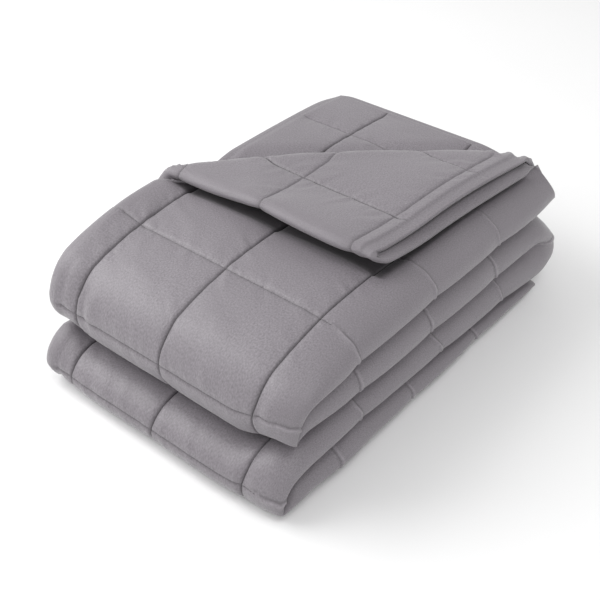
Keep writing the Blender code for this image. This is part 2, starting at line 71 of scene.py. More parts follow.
FOLD_MIDDLE = 0.25 - LAYER_GAP / 4  # where the middle of the left-hand fold is, on the way to face B

# The strip's section
LEFT = -26.0  # where the layers' flat stretch starts
RIGHT = 200.0  # where it ends and the right-hand fold starts
FOLD_BULGE = 17.0  # how far the left-hand fold stands out from LEFT
FOLD_WALL = 9.0  # how thick the cloth is there
FOLD_POWER = 0.8  # how round the left-hand fold is, below 1 for a blunter one
UPPER_HEM = -40.0
LOWER_HEM = -43.0
CORNER_POWER = 2.4  # how blunt the right-hand fold is
NEST = 21.0  # how far the inner fold's end lies inside the outer one
PINCH = 1.6  # how far a sewn line draws the right-hand fold in
SIDE_KEEPS = 0.22  # how much of the relief the right-hand fold's side keeps
SIDE_RIDGE = 1.7  # how high the sewn lines stand there as thin ridges
RIDGE_WIDTH = 1.8
RIDGE_SHIFT = 1.2  # how far beside the sewn line the ridge, with its painted highlight, and the painted shade at its edge are
RIDGE_SHADE = 0.55  # how dark the painted shade at that edge is
RIDGE_WANDER = 1.1  # how far the two wander
RIDGE_WAVES = (7.0, 3.1)  # in so many waves round the fold
RIDGE_RAMP = (236.0, 270.0)  # where across the strip they grow
FOLD_SIDE = (225.0, 260.0)  # where the right-hand fold's face turns into its side
SIDE = (205.0, 265.0)  # where the strip's shape turns into that of its right-hand side

# The top strip's turned corner
CREST = 87.5  # halfway along, the layers start to bend where y = x + CREST
BEND_REACH = 600.0  # x + y at the crest's far end
BEND = (
    # share of the reach, y - x where the bend starts, its radius, the room under the flap
    (0.0, 96.5, 6.0, 1.0),
    (0.12, 94.5, 8.5, 3.0),
    (0.28, 88.0, 14.0, 8.0),
    (0.5, 87.5, 16.0, 9.0),
    (0.72, 87.5, 14.6, 9.0),
    (0.88, 87.0, 13.0, 9.0),
    (1.0, 86.0, 12.5, 8.0),
)
FAN_RAMP = (60.0, 366.0)  # where the left edge spreads towards the free end
PAIR_MIDDLE = 0.25  # where the middle of the upper pair of layers is, on the way to face B
FLAP_HALF = 7.6  # half the thickness of the pair of layers, once it is turned over
HEM_LIFT = 5.0  # how far the flap's two hems stand apart halfway along their edge
HEM_LIFT_RAMP = (250.0, 366.0)  # the stretch along the strip over which they do
HEM_LIFT_SPAN = (-40.0, 240.0)  # and the one across it
EDGE_LIFT = 6.0  # how much higher the flap's front edge stands
EDGE_RAMP = (-45.0, 40.0)  # the stretch across the strip over which it does
EDGE_PAST = (60.0, 130.0)  # and the distance past the crest
BACK_RISE = 24.0  # how far the lower pair swells up, as if to face A, where the upper pair has gone
RISE_RAMP = (50.0, 100.0)  # the stretch behind the crest where it does
END_SLANT = 16.0  # how far the free end falls back along the right-hand fold
SLANT_RAMP = (200.0, 280.0)  # the stretch across the strip over which it does
FAN_SIDE = (-30.0, 100.0)  # the stretch across the strip that spreads
END_RAMP = (150.0, 366.0)  # the stretch along it over which the layers' free ends draw apart
COVER_RAMP = (-5.0, 3.0)  # from before the flap's front edge to behind it, where the cloth under the flap is sunk and painted with shade
COVER_END = (240.0, 248.0)  # where the flap ends at its right
COVER_SINK = 3.0  # how much deeper the cloth is pressed under the flap
CORNER = 7.0  # how far the free end's left-hand corners are rounded off
CORNER_X = (-46.0, -6.0)  # the stretch across the strip over which they are
CORNER_Y = (310.0, 366.0)  # and the one along it
TAUT = 0.5  # how much of the relief is lost round the crest
TAUT_AT = 20.0  # how far past the bend's start it is lost most

# The middle of the stack, which is the frame's origin
MIDDLE = (115.4, 137.5)

# The colours
CLOTH_DARK = (0.150, 0.136, 0.150)
CLOTH_LIGHT = (0.255, 0.234, 0.256)
# painted shade, in the seams' grooves and under the turned corner, and a painted highlight on the
# right-hand side's ridges
SEAM_SHADE = (0.03, 0.026, 0.03)
RIDGE_HIGHLIGHT = (0.38, 0.35, 0.38)
THREAD_DARK = (0.075, 0.068, 0.075)
THREAD_LIGHT = (0.14, 0.128, 0.14)
FLOOR_DARK = (0.9, 0.9, 0.9)
FLOOR_LIGHT = (0.93, 0.93, 0.93)

# The cloth's material. Its noises are read from the flat cloth, in metres.
NOISES = {
    # name: scale, detail
    "streaks": (1400.0, 2.0),
    "grain": (620.0, 3.0),
    "blotches": (38.0, 4.0),
    "crumples": (120.0, 3.0),
    "clouds": (9.0, 2.0),
}
STREAK_STRETCH = (1.0, 0.35, 1.0)
GRAIN_RANGE = (0.3, 0.7)  # the noise's values from the dark colour to the light one
TINTS = (
    # noise or attribute, low, high, the colour's share at low, at high, colour
    ("streaks", 0.35, 0.75, 0.0, 0.35, CLOTH_LIGHT),
    ("clouds", 0.35, 0.7, 0.0, 0.22, CLOTH_DARK),
    # painted shade in the grooves of the sewn lines and at the ridges' edges
    ("line", 0.0, 1.0, 0.0, 0.9, SEAM_SHADE),
    # painted highlight on the ridges of the right-hand side
    ("line", -1.0, 0.0, 0.5, 0.0, RIDGE_HIGHLIGHT),
    # painted shade where the turned corner lies over the cloth
    ("under_flap_shade", 0.0, 1.0, 0.0, 0.8, SEAM_SHADE),
)
BUMPS = (
    # noise, strength, height in metres
    ("streaks", 0.35, 0.0004),
    ("grain", 0.3, 0.0006),
    ("blotches", 0.35, 0.003),
)
CRUMPLE_HEIGHT = 0.003
CRUMPLE_RANGE = (1.0, 16.0, 0.55, 0.0)  # the distances from a seam, and the strength at each

# The sewing
STITCH = 3.0
STITCH_GAP = 1.2
THREAD_RADIUS = 0.36
THREAD_LIFT = 0.1
SEAM_PAINT_REACH = 0.85  # how far the painted shade of a sewn seam, and the ridges' painted highlight and shade, reach on each side
CROSS_SEAM_SHADE = 0.4  # how dark the painted shade of a line across the strip is, next to one along it
SEWN = 0.3  # the least of the relief that a stitched face keeps
SAME = 0.01  # a point closer to a sewn line than this is on it
LONGEST_STEP = 25.0  # two points of a line further apart than this belong to two lines
LINE_APART = 20.0  # two lengthwise lines of a layer are further apart than this
STITCH_RINGS = (0.25, 0.75)  # where a stitch is thickest, as shares of its length

# The spacing of the points
FINE = 4.75
MEDIUM = 9.0
COARSE = 18.0
FLANKS = (0.0, 1.0, 2.3, 4.2, 7.0)  # the points on both sides of a sewn line
FLANK_CLEAR = 1.5  # the least space between these and the evenly spread points
END_CLEAR = 0.8  # and between these and the end of a stretch
# The steps round the folds, where the cloth shows and where it is hidden
FOLD_STEPS = (17, 12)  # from the right-hand fold's start to its tip
LEFT_STEPS = (9, 5)
INNER_STEPS = (6, 2)
BACK_STEPS = 4  # of the inner face
FOLD_SEAM = 0.42  # where a lengthwise sewn line runs on the right-hand fold, as a share of its reach
FOLD_REACH = 75.0  # how far along the cloth a turn of one radian is there

# Stations from the top strip's free end to the bottom strip's. The seam column marks a sewn line
# across the strip. Face A is the top of the top strip, face B its underside, and both are followed
# round the folds. The tip is the right-hand fold's extreme, at the share lean of the way to face B.
PATH = (
    # seam, A y, A z, B y, B z, tip, lean
    (0, 366, 150, 372, 113, 277, 0.75),
    (0, 330, 153, 330, 116.5, 280.5, 0.84),
    (1, 244, 158, 244, 119, 281, 0.85),
    (1, 122, 160, 122, 120.5, 281, 0.85),
    (0, 58, 161, 58, 120.5, 281, 0.85),
    (1, 0, 156, 0, 120, 281, 0.85),
    (0, -32, 149, -25, 117.5, 281, 0.85),
    (0, -57, 141.5, -40, 113.8, 281, 0.85),
    (0, -70, 136, -47, 111, 280.5, 0.85),
    (0, -83, 125, -52, 108.8, 280, 0.85),
    (0, -94, 109, -55, 107, 279, 0.85),
    (1, -98.5, 95, -56, 105.4, 278, 0.85),
    (0, -96.5, 80, -55.5, 104, 277, 0.80),
    (0, -90, 68, -54, 103.2, 276, 0.75),
    (0, -83, 59, -50, 104.5, 275, 0.68),
    (0, -72, 54, -44, 107.3, 273, 0.5),
    (0, -52, 54.5, -32, 111.8, 274, 0.35),
    (0, -25, 62, -14, 114.8, 277, 0.2),
    (1, 5, 71, 10, 116, 279, 0.15),
    (0, 60, 77.5, 60, 116.8, 280, 0.15),
    (1, 122, 79, 122, 117, 280, 0.15),
    (1, 244, 79, 244, 116, 280, 0.15),
    (0, 300, 78, 300, 114, 280, 0.18),
    (0, 320, 77.5, 338, 110, 281, 0.22),
    (0, 328, 77, 368, 99, 283, 0.35),
    (1, 331, 76, 384, 79, 284, 0.5),
    (0, 328, 75, 376, 59, 283, 0.65),
    (0, 320, 74.5, 348, 48.5, 281, 0.8),
    (0, 300, 74.5, 300, 45.5, 280, 0.85),
    (1, 262, 75.5, 270, 45.5, 280, 0.85),
    (1, 135, 75.5, 150, 45, 280, 0.85),
    (0, 60, 73.5, 66, 43.5, 280, 0.85),
    (1, 8, 68, 15, 38, 280, 0.85),
    (0, -25, 58.5, -20, 32, 279, 0.82),
    (0, -52, 51, -45, 28.5, 278, 0.78),
    (0, -72, 50, -62, 26.5, 278, 0.75),
    (0, -85, 48.5, -70, 25.5, 278, 0.72),
    (0, -100, 44, -74, 24.8, 278, 0.7),
    (0, -111, 35.5, -76, 24, 278, 0.7),
    (1, -117, 25, -77, 23.2, 278, 0.7),
    (0, -116.5, 15, -76.5, 22.4, 278, 0.68),
    (0, -110, 6, -74.5, 21.8, 278, 0.65),
    (0, -99, 1, -71, 21.6, 278, 0.6),
    (0, -87, 0, -66, 21.8, 279, 0.5),
    (0, -60, 0, -48, 24.5, 280, 0.5),
    (1, -27, 0, -24, 29, 284, 0.42),
    (0, 20, 0, 15, 35, 282, 0.42),
    (1, 95, 0, 95, 41, 282, 0.42),
    (1, 217, 0, 217, 42.5, 281, 0.5),
    (0, 350, 0, 350, 42, 280, 0.5),
)
SEAM, A_Y, A_Z, B_Y, B_Z, TIP, LEAN, SIDE_A_Y, SIDE_A_Z, SIDE_B_Y, SIDE_B_Z = range(11)

# The rows of PATH that differ at the right-hand side: there the outer layer wraps the near folds
# like an ear, with the strip behind it starting at a slit, and the far fold hangs lower
RIGHT_SIDE = (
    # row, A y, A z, B y, B z
    (7, -57, 142, -56, 117.5),
    (8, -70, 137, -67, 116),
    (9, -83, 128, -72, 112),
    (10, -92, 117, -74, 106),
    (11, -96, 106, -75.5, 99),
    (12, -96, 94, -77, 92),
    (13, -92, 84, -79, 86),
    (14, -85, 76.5, -80, 82),
    (15, -78, 74.5, -76.5, 90),
    (16, -60, 75, -68, 112),
    (17, -25, 78, -30, 116.3),
    (18, 5, 80, 10, 117),
    (19, 60, 78.5, 60, 117),
    (20, 122, 77, 122, 117),
    (21, 244, 73.5, 244, 116),
    (22, 300, 73, 300, 112),
    (23, 318, 73, 343, 106),
    (24, 322, 72.5, 376, 88),
    (25, 324, 72, 397, 61),
    (26, 322, 71, 398, 36),
    (27, 316, 70.5, 373, 20.5),
    (28, 300, 70.5, 310, 24),
    (29, 262, 71, 270, 28.5),
    (30, 135, 74, 150, 36),
    (31, 60, 75, 66, 42),
    (32, 8, 75, 10, 44),
    (33, -25, 73.5, -22, 42),
    (34, -52, 71.5, -50, 39.5),
    (35, -74, 72, -68, 37.5),
    (36, -91, 66, -80, 35),
    (37, -104, 55, -87, 32),
    (38, -112, 41, -91, 28),
    (39, -115, 28, -94, 24),
    (40, -114, 17, -98, 19.5),
    (41, -110, 8, -101, 15),
    (42, -104, 3, -97, 18),
    (43, -94, 0.5, -84, 29),
    (44, -66, 0, -62, 36),
    (45, -27, 0, -24, 38.5),
    (46, 20, 0, 15, 41),
    (47, 95, 0, 95, 37),
    (48, 217, 0, 217, 28),
    (49, 346, 3, 346, 19),
)
TOP_ROWS = 7  # rows of PATH in the top strip
TOP_END = 5  # the last of them with the free end's fine points
# The stretches of PATH after the top strip: the row where each ends, the spacing along the strip,
# and the spacing across the layer that shows on face A and on face B
STRETCHES = (
    # last row, along, face A, face B
    (16, 4.0, 4.5, 18.0),
    (22, 8.0, 30.0, 30.0),
    (28, 5.0, 18.0, 4.5),
    (33, 8.0, 30.0, 30.0),
    (44, 4.0, 4.5, 18.0),
    (49, 12.0, 18.0, 30.0),
)
# How much of the quilting's relief face A keeps from row to row: it fades where the cloth is pressed
PRESSED = {"rows": (12, 15, 33, 35, 40, 42), "keeps": (1.0, 0.2, 0.2, 1.0, 1.0, 0.0)}
# How much face A differs at the left-hand edge, row by row: how much higher it stands, and how far
# the lower lobe's foot falls back
LEFT_RISE = {
    "rows": (3, 4, 9, 11, 12, 13, 14, 15, 16, 17, 18, 32, 33, 34, 35, 36, 37, 38, 39),
    "rises": (0, 6.5, 6.5, 3, 5, 9, 9, 8, 6, 3, 0, 0, 3, 6, 8, 11, 8, 4, 0),
}
LEFT_BACK = {"rows": (38, 39, 40, 41, 43, 45), "steps": (0.0, 1.0, 4.0, 8.0, 9.0, 0.0)}
LEFT_RAMP = (-35.0, 15.0)  # where across the strip these differences fade

# How far each layer's free end stands from the top layer's
END_STEPS = {"bottom": 14.0, "top": 4.0, "second": -6.0, "third": 20.0}
# How far its left edge spreads out at the free end
FANS = {"bottom": 8.0, "top": 18.0, "second": 18.0, "third": 7.0}
# Where the lengthwise and crosswise sewn lines of each layer lie in the top strip
SEAM_STARTS = {"bottom": (0.0, 0.0), "top": (0.0, 0.0), "second": (27.0, 98.0), "third": (42.0, 285.0)}

# Single creases on face A, each between two places given by x and a row of PATH
WRINKLES = (
    # x, row, x, row, width, how high it stands
    (12, 4.3, 60, 4.6, 7.0, 1.2),
    (-8, 4.0, 8, 5.4, 5.0, -1.6),
    (4, 8.6, 14, 12.2, 5.0, -2.2),
    (16, 8.8, 26, 12.4, 6.0, 1.6),
    (-14, 8.0, -10, 11.0, 5.0, 1.5),
    (30, 6.2, 75, 7.4, 9.0, 0.9),
    (140, 6.8, 190, 7.6, 10.0, 0.8),
    (150, 10.4, 190, 9.6, 8.0, 0.8),
    (236, 9.0, 240, 12.0, 5.0, -2.0),
    (248, 9.4, 252, 12.2, 5.0, 1.4),
    (30, 36.4, 52, 39.0, 7.0, 1.2),
    (232, 36.6, 236, 40.0, 5.0, -1.8),
    (150, 37.0, 180, 38.4, 9.0, 1.0),
)
WRINKLE_BEND = 1.5  # how far a crease wanders from the straight line
WRINKLE_TAPER = 0.1  # how far beyond its ends it would run out
FACE_A = (1.5, 3.9)  # the stretch of "match" that face A takes

# The cloth is followed across the strip from the lower hem, and each stretch is one unit of "match".
# A fold's tip is halfway along its stretch.
BOTTOM, OUTER_FOLD, TOP, LEFT_FOLD, SECOND, INNER_FOLD, THIRD = range(7)
OUTER_TIP, LEFT_TIP, INNER_TIP = OUTER_FOLD + 0.5, LEFT_FOLD + 0.5, INNER_FOLD + 0.5
LAYER_NAMES = ("bottom", "top", "top", "top", "second", "second", "third", "third")


def path_rows():
    """PATH with the four columns for the strip's right-hand side."""
    rows = [list(row) + list(row[A_Y : B_Z + 1]) for row in PATH]
    for row, *side in RIGHT_SIDE:
        rows[row][SIDE_A_Y:] = side
    return np.array(rows)


def distances(rows):
    """The distance along the strip of each row, midway between its faces."""
    steps = np.diff(rows[:, [A_Y, A_Z, B_Y, B_Z]], axis=0)
    face_a = np.hypot(steps[:, 0], steps[:, 1])
    face_b = np.hypot(steps[:, 2], steps[:, 3])
    return np.concatenate([[0.0], np.cumsum((face_a + face_b) / 2)])


def slopes(rows, lengths):
    """The slope of each column at each row, from the parabola through it and its neighbours."""
    run = np.diff(lengths)[:, None]
    rise = np.diff(rows, axis=0) / run
    inner = (run[1:] * rise[:-1] + run[:-1] * rise[1:]) / (run[1:] + run[:-1])
    return np.vstack([rise[:1], inner, rise[-1:]])


ROWS = path_rows()
LENGTHS = distances(ROWS)
SLOPES = slopes(ROWS, LENGTHS)
SEAM_LENGTHS = LENGTHS[ROWS[:, SEAM] > 0]
TOP_STRIP_LENGTH = LENGTHS[TOP_END] + SAME
PUCKER_PHASES = np.random.default_rng(SEED).uniform(0, 2 * np.pi, len(PUCKER_WAVES))


def station(length):
    """The columns of ROWS at this distance along the strip, on a smooth curve through its rows."""
    row = min(max(bisect.bisect_right(LENGTHS, length) - 1, 0), len(LENGTHS) - 2)
    run = LENGTHS[row + 1] - LENGTHS[row]
    share = (length - LENGTHS[row]) / run
    rest = 1 - share
    return (
        (1 + 2 * share) * rest**2 * ROWS[row]
        + share * rest**2 * run * SLOPES[row]
        + share**2 * (3 - 2 * share) * ROWS[row + 1]
        - share**2 * rest * run * SLOPES[row + 1]
    )


def smooth(value, start, end):
    """0 before start, 1 after end, and an even turn between."""
    share = np.clip((value - start) / (end - start), 0.0, 1.0)
    return share * share * (3 - 2 * share)


def seam_distance(position, start, pitch):
    """How far a position is from the nearest of the sewn lines that lie a pitch apart."""
    return np.abs((position - start + pitch / 2) % pitch - pitch / 2)


def drawn_in(distance, pitch):
    """1 on a sewn line, 0 in the middle of a pocket."""
    return np.maximum(1 - 2 * distance / pitch, 0.0) ** CROWN_POWER


def superellipse(share):
    """How far the right-hand fold has turned away from the flat, from 0 at its start to 1 at its tip."""
    return 1 - (1 - share**CORNER_POWER) ** (1 / CORNER_POWER)


def spread(low, high, step, lines=()):
    """Places from low to high, a step apart, with closer ones beside each line."""
    even = np.linspace(low, high, max(round((high - low) / step), 1) + 1)
    lines = [line for line in lines if low <= line <= high]
    for line in lines:
        away = np.abs(even - line) > FLANKS[-1] + FLANK_CLEAR
        even = even[away | (even == low) | (even == high)]
    beside = [line + side * flank for line in lines for flank in FLANKS for side in (-1, 1)]
    inside = [place for place in beside if low + END_CLEAR < place < high - END_CLEAR]
    return np.unique(np.round(np.concatenate([even, inside]), 3))


def seam_lines(name, axis):
    """Where the sewn lines of a layer lie, counted across (axis 0) or along (axis 1) the strip."""
    pitch = (SEAM_PITCH_X, SEAM_PITCH_Y)[axis]
    return [SEAM_STARTS[name][axis] + pitch * pocket for pocket in range(-3, 4)]


def with_seam(turns):
    """These turns round the right-hand fold, with closer ones beside the sewn line on face A."""
    seam = math.pi - math.asin(FOLD_SEAM)
    beside = [seam + side * flank / FOLD_REACH for flank in FLANKS for side in (-1, 1)]
    away = turns[np.abs(turns - seam) * FOLD_REACH > FLANKS[-1] + FLANK_CLEAR]
    return np.unique(np.concatenate([away, beside]))


class Outline:
    """Points along one face's section, as columns: match, x, depth."""

    def __init__(self):
        self.columns = []

    def add(self, match, x, depth):
        self.columns.append(np.broadcast_arrays(match, x, depth))

    def layer(self, start, left, depth, rightwards, step, name):
        x = spread(left, RIGHT, step, seam_lines(name, 0) if step < MEDIUM else ())
        share = (x - left) / (RIGHT - left)
        if rightwards:
            self.add(start + share, x, depth)
        else:
            self.add(start + 1 - share[::-1], x[::-1], depth)

    def right_fold(self, start, nest, row, steps):
        """The right-hand fold, nest of the way from the outermost face to the middle."""
        tip = row[TIP] - nest * NEST
        turn = np.linspace(0, math.pi, 2 * steps + 1)[1:-1]
        if nest == 0:
            turn = with_seam(turn)
        share = np.sin(turn)
        bend = superellipse(share)
        on_face_b = (turn <= math.pi / 2) == (start == OUTER_FOLD)
        depth = np.where(on_face_b, 1 - (1 - row[LEAN]) * bend, row[LEAN] * bend)
        self.add(start + turn / math.pi, RIGHT + (tip - RIGHT) * share, depth + (0.5 - depth) * nest)

    def left_fold(self, wall, steps):
        """The fold between the top layer and the second: its outer face, or its inner one."""
        turn = np.linspace(0, math.pi, steps + 2)[1:-1]
        height = 0.5 - LAYER_GAP / 2
        depth = height * (1 - np.cos(turn)) / 2
        depth = depth + (height / 2 - depth) * (wall > 0)
        reach = FOLD_BULGE - wall
        self.add(LEFT_FOLD + turn / math.pi, LEFT - reach * np.sin(turn) ** FOLD_POWER, depth)

    def joined(self):
        return np.concatenate([np.stack(columns, 1) for columns in self.columns])


def steps_for(step, choices):
    """The first of two numbers of steps where the cloth's points are close together, or the second."""
    return choices[0] if step < MEDIUM else choices[1]


def outer_face(row, step_a, step_b, step_inside):
    """The face of the cloth that shows, from the lower hem to the upper one."""
    gap = LAYER_GAP / 2
    outline = Outline()
    outline.layer(BOTTOM, LOWER_HEM, 1.0, True, step_b, "bottom")
    outline.right_fold(OUTER_FOLD, 0.0, row, steps_for(min(step_a, step_b), FOLD_STEPS))
    outline.layer(TOP, LEFT, 0.0, False, step_a, "top")
    outline.left_fold(0.0, steps_for(step_a, LEFT_STEPS))
    outline.layer(SECOND, LEFT, 0.5 - gap, True, step_inside, "second")
    outline.right_fold(INNER_FOLD, 1 - 2 * gap, row, steps_for(step_inside, INNER_STEPS))
    outline.layer(THIRD, UPPER_HEM, 0.5 + gap, False, step_inside, "third")
    return outline.joined()


def inner_face(row, step_inside):
    """The other face, from the lower hem to the upper one."""
    gap = LAYER_GAP / 2
    step = max(step_inside * 2, MEDIUM)
    outline = Outline()
    outline.layer(BOTTOM, LOWER_HEM, 0.75 + gap, True, COARSE, "bottom")
    outline.right_fold(OUTER_FOLD, 0.5 - 2 * gap, row, BACK_STEPS)
    outline.layer(TOP, LEFT, 0.25 - gap, False, step, "top")
    outline.left_fold(FOLD_WALL, 1)
    outline.layer(SECOND, LEFT, 0.25 + gap, True, step, "second")
    outline.right_fold(INNER_FOLD, 0.5 + 2 * gap, row, BACK_STEPS)
    outline.layer(THIRD, UPPER_HEM, 0.75 - gap, False, COARSE, "third")
    return outline.joined()


def top_length(y):
    """The distance along the strip at which the top strip's face A is at this y."""
    return float(np.interp(-y, -ROWS[:TOP_ROWS, A_Y], LENGTHS[:TOP_ROWS]))


# The top strip's columns at even steps of y, to look up its upper surface
LOOKUP_Y = np.arange(-60.0, 400.0, 4.0)
LOOKUP = np.array([station(top_length(y)) for y in LOOKUP_Y])


def top_height(x, y):
    """The height of the top strip's upper face."""
    a_z, b_z, tip, lean = (np.interp(y, LOOKUP_Y, LOOKUP[:, column]) for column in (A_Z, B_Z, TIP, LEAN))
    share = np.clip((x - RIGHT) / (tip - RIGHT), 0.0, 1.0)
    return a_z - lean * superellipse(share) * (a_z - b_z)


def past_crest(x, y, start=CREST):
    """The distance from the line y = x + start, along which the corner starts to bend."""
    return (y - x - start) / math.sqrt(2)


def bend_at(x, y):
    """Where the bend of BEND starts along the crest beside these points, its radius and the room."""
    shares, *columns = zip(*BEND)
    return [np.interp((x + y) / BEND_REACH, shares, column) for column in columns]


def turned_over(x, y, middle, above):
    """The places of points of the top strip's upper pair of layers, once its corner is turned over.

    middle is the height of the pair's middle there, and above is how far the points lie over it.
    """
    start, radius, clearance = bend_at(x, y)
    past = past_crest(x, y, start)
    angle = np.minimum(past / radius, math.pi)
    beyond = np.maximum(past - math.pi * radius, 0.0)
    back = past + beyond - (radius - above) * np.sin(angle)
    new_x = x + back / math.sqrt(2)
    new_y = y - back / math.sqrt(2)
    round_crest = middle + radius - (radius - above) * np.cos(angle)
    flattened = FLAP_HALF - above * FLAP_HALF * 4 / (ROWS[0, A_Z] - ROWS[0, B_Z])
    lying = top_height(new_x, new_y) + clearance + flattened
    new_z = round_crest + (lying - round_crest) * smooth(angle, math.pi / 2, math.pi)
    turned = past > 0
    return np.where(turned, new_x, x), np.where(turned, new_y, y), np.where(turned, new_z, middle + above)


def hem_distance(match, x, y, in_top_strip):
    """How far each point of the outer face is from the nearest hem's edge."""
    distance = np.full(x.shape, NO_HEM)
    distance = np.where(match >= THIRD, np.minimum(distance, x - UPPER_HEM), distance)
    distance = np.where(match <= OUTER_FOLD, np.minimum(distance, x - LOWER_HEM), distance)
    if in_top_strip:
        distance = np.minimum(distance, ROWS[0, A_Y] - y)
    return distance


def by_layer(table, match):
    """The table's value for the layer that each point is in."""
    values = np.array([table[name] for name in LAYER_NAMES])
    return values[match.astype(int)]


def blended(table, match):
    """The table's value for each layer, with an even change round the folds between them."""
    names = ("bottom", "top", "top", "second", "second", "third")
    return np.interp(match, range(OUTER_FOLD, THIRD + 1), [table[name] for name in names])


def left_difference(length, x):
    """How far back face A is at each x, and how much higher, than in the strip's middle."""
    fades = 1 - smooth(x, *LEFT_RAMP)
    back = np.interp(length, LENGTHS[list(LEFT_BACK["rows"])], LEFT_BACK["steps"])
    rise = np.interp(length, LENGTHS[list(LEFT_RISE["rows"])], LEFT_RISE["rises"])
    return back * fades, rise * fades


def faces_at(length, x):
    """Where the strip's faces are at each x: the y and z of face A, then those of face B."""
    row = station(length)
    to_side = smooth(x, *SIDE)
    a_y, a_z, b_y, b_z = (
        row[near] * (1 - to_side) + row[side] * to_side
        for near, side in ((A_Y, SIDE_A_Y), (A_Z, SIDE_A_Z), (B_Y, SIDE_B_Y), (B_Z, SIDE_B_Z))
    )
    back, rise = left_difference(length, x)
    return a_y + back, a_z + rise, b_y, b_z


def hemmed(length, outline):
    """The depths of the outer face's points, which lie further inside the cloth within the hems."""
    match, x, depth = outline.T
    row = station(length)
    thickness = math.hypot(row[A_Y] - row[B_Y], row[A_Z] - row[B_Z])
    at_hem = 1 - smooth(hem_distance(match, x, row[A_Y], length <= TOP_STRIP_LENGTH), *HEM_EDGE)
    sink = HEM_SINK * at_hem / thickness * (1 - smooth(x, *FOLD_SIDE))
    faces_up = (match >= THIRD) | ((match > OUTER_TIP) & (match < LEFT_TIP))
    squeezed = FOLD_MIDDLE + (depth - FOLD_MIDDLE) * (1 - sink / FOLD_MIDDLE)
    return np.where(match.astype(int) == LEFT_FOLD, squeezed, depth + np.where(faces_up, sink, -sink))


def flap_lift(length, outline):
    """How much higher the flap's upper layer stands along its hem, and its front edge."""
    match, x, _ = outline.T
    a_y = station(length)[A_Y]
    start, end = HEM_LIFT_SPAN
    arch = np.sin(np.pi * np.clip((x - start) / (end - start), 0, 1))
    at_hem = HEM_LIFT * smooth(a_y, *HEM_LIFT_RAMP) * (match > LEFT_TIP) * arch
    return at_hem + EDGE_LIFT * smooth(past_crest(x, a_y), *EDGE_PAST) * (1 - smooth(x, *EDGE_RAMP))


def with_turned_corner(length, outline, x, y, z, depth, middle):
    """The places of the top strip's points, with its free end spread and its corner turned over."""
    match, flat_x, _ = outline.T
    a_y = station(length)[A_Y]
    steps = blended(END_STEPS, match) - END_SLANT * smooth(x, *SLANT_RAMP)
    y = y + steps * smooth(a_y, *END_RAMP)
    x = x - by_layer(FANS, match) * (1 - smooth(x, *FAN_SIDE)) * smooth(a_y, *FAN_RAMP)
    rounded = CORNER * (1 - smooth(flat_x, *CORNER_X)) ** 2 * smooth(a_y, *CORNER_Y) ** 2
    x, y = x + rounded, y - rounded
    upper_pair = (match > OUTER_TIP) & (match < INNER_TIP)
    turned = turned_over(x, y, middle, z - middle)
    risen = x, y, z + BACK_RISE * (1 - depth) * smooth(past_crest(x, y), *RISE_RAMP)
    x, y, z = (np.where(upper_pair, over, under) for over, under in zip(turned, risen))
    return x, y, z + flap_lift(length, outline) * upper_pair


def place(length, outline, outer):
    """The points in space, in millimetres, of an outline at this distance along the strip."""
    _, x, depth = outline.T
    a_y, a_z, b_y, b_z = faces_at(length, x)
    if outer:
        depth = hemmed(length, outline)
    to_seam = np.abs(SEAM_LENGTHS - length).min()
    x = x - PINCH * smooth(x, *FOLD_SIDE) * drawn_in(to_seam, SEAM_PITCH_Y)
    y = a_y + (b_y - a_y) * depth
    z = a_z + (b_z - a_z) * depth
    if length <= TOP_STRIP_LENGTH:
        middle = a_z + (b_z - a_z) * PAIR_MIDDLE
        x, y, z = with_turned_corner(length, outline, x, y, z, depth, middle)
    return np.stack([x - MIDDLE[0], y - MIDDLE[1], z], 1)


def beside_seam(length, match):
    """How far each point is past the nearest sewn line across the strip, which wanders a little."""
    nearest = SEAM_LENGTHS[np.abs(SEAM_LENGTHS - length).argmin()]
    wander = sum(np.sin(2 * np.pi * waves * match + nearest) for waves in RIDGE_WAVES) / 2
    return length - nearest + RIDGE_WANDER * wander


def seam_distances(length, outline):
    """How far each point is from the nearest sewn line along the strip, and from the nearest across it."""
    match, x, _ = outline.T
    row = station(length)
    across = seam_distance(x, by_layer(SEAM_STARTS, match)[:, 0], SEAM_PITCH_X)
    # the right-hand fold has one lengthwise line, on the half towards face A
    on_fold = (match > OUTER_FOLD) & (match < TOP)
    seam_x = RIGHT + FOLD_SEAM * (row[TIP] - RIGHT)
    across_fold = np.where(match > OUTER_TIP, np.abs(x - seam_x), SEAM_PITCH_X / 2)
    across = np.where(on_fold, across_fold, across)
    along = np.full(x.shape, np.abs(SEAM_LENGTHS - length).min())
    if length <= TOP_STRIP_LENGTH:
        # the left-hand fold is sewn with the second layer
        layer = np.where(match > LEFT_FOLD, np.maximum(match, SECOND), match)
        own = (match > LEFT_FOLD) & (match != INNER_FOLD)
        to_own = seam_distance(row[A_Y], by_layer(SEAM_STARTS, layer)[:, 1], SEAM_PITCH_Y)
        along = np.where(own, to_own, along)
    return across, along


def ripple(position):
    """An uneven wave along a sewn line, between about -1 and 1."""
    waves = zip(PUCKER_WAVES, PUCKER_PHASES)
    return sum(np.sin(2 * np.pi * position / wave + phase) for wave, phase in waves) / 2


def puckers(length, outline, across, along):
    """How deep the cloth ripples beside its sewn lines."""
    match, x, _ = outline.T
    flat_x = match * (RIGHT - LEFT)
    beside_across = across / PUCKER_REACH * np.exp(1 - across / PUCKER_REACH)
    beside_along = along / PUCKER_REACH * np.exp(1 - along / PUCKER_REACH)
    lengthwise = beside_across * ripple(length + PUCKER_SLANT * flat_x)
    crosswise = beside_along * ripple(flat_x + PUCKER_SLANT * length)
    return PUCKER * (lengthwise + crosswise)


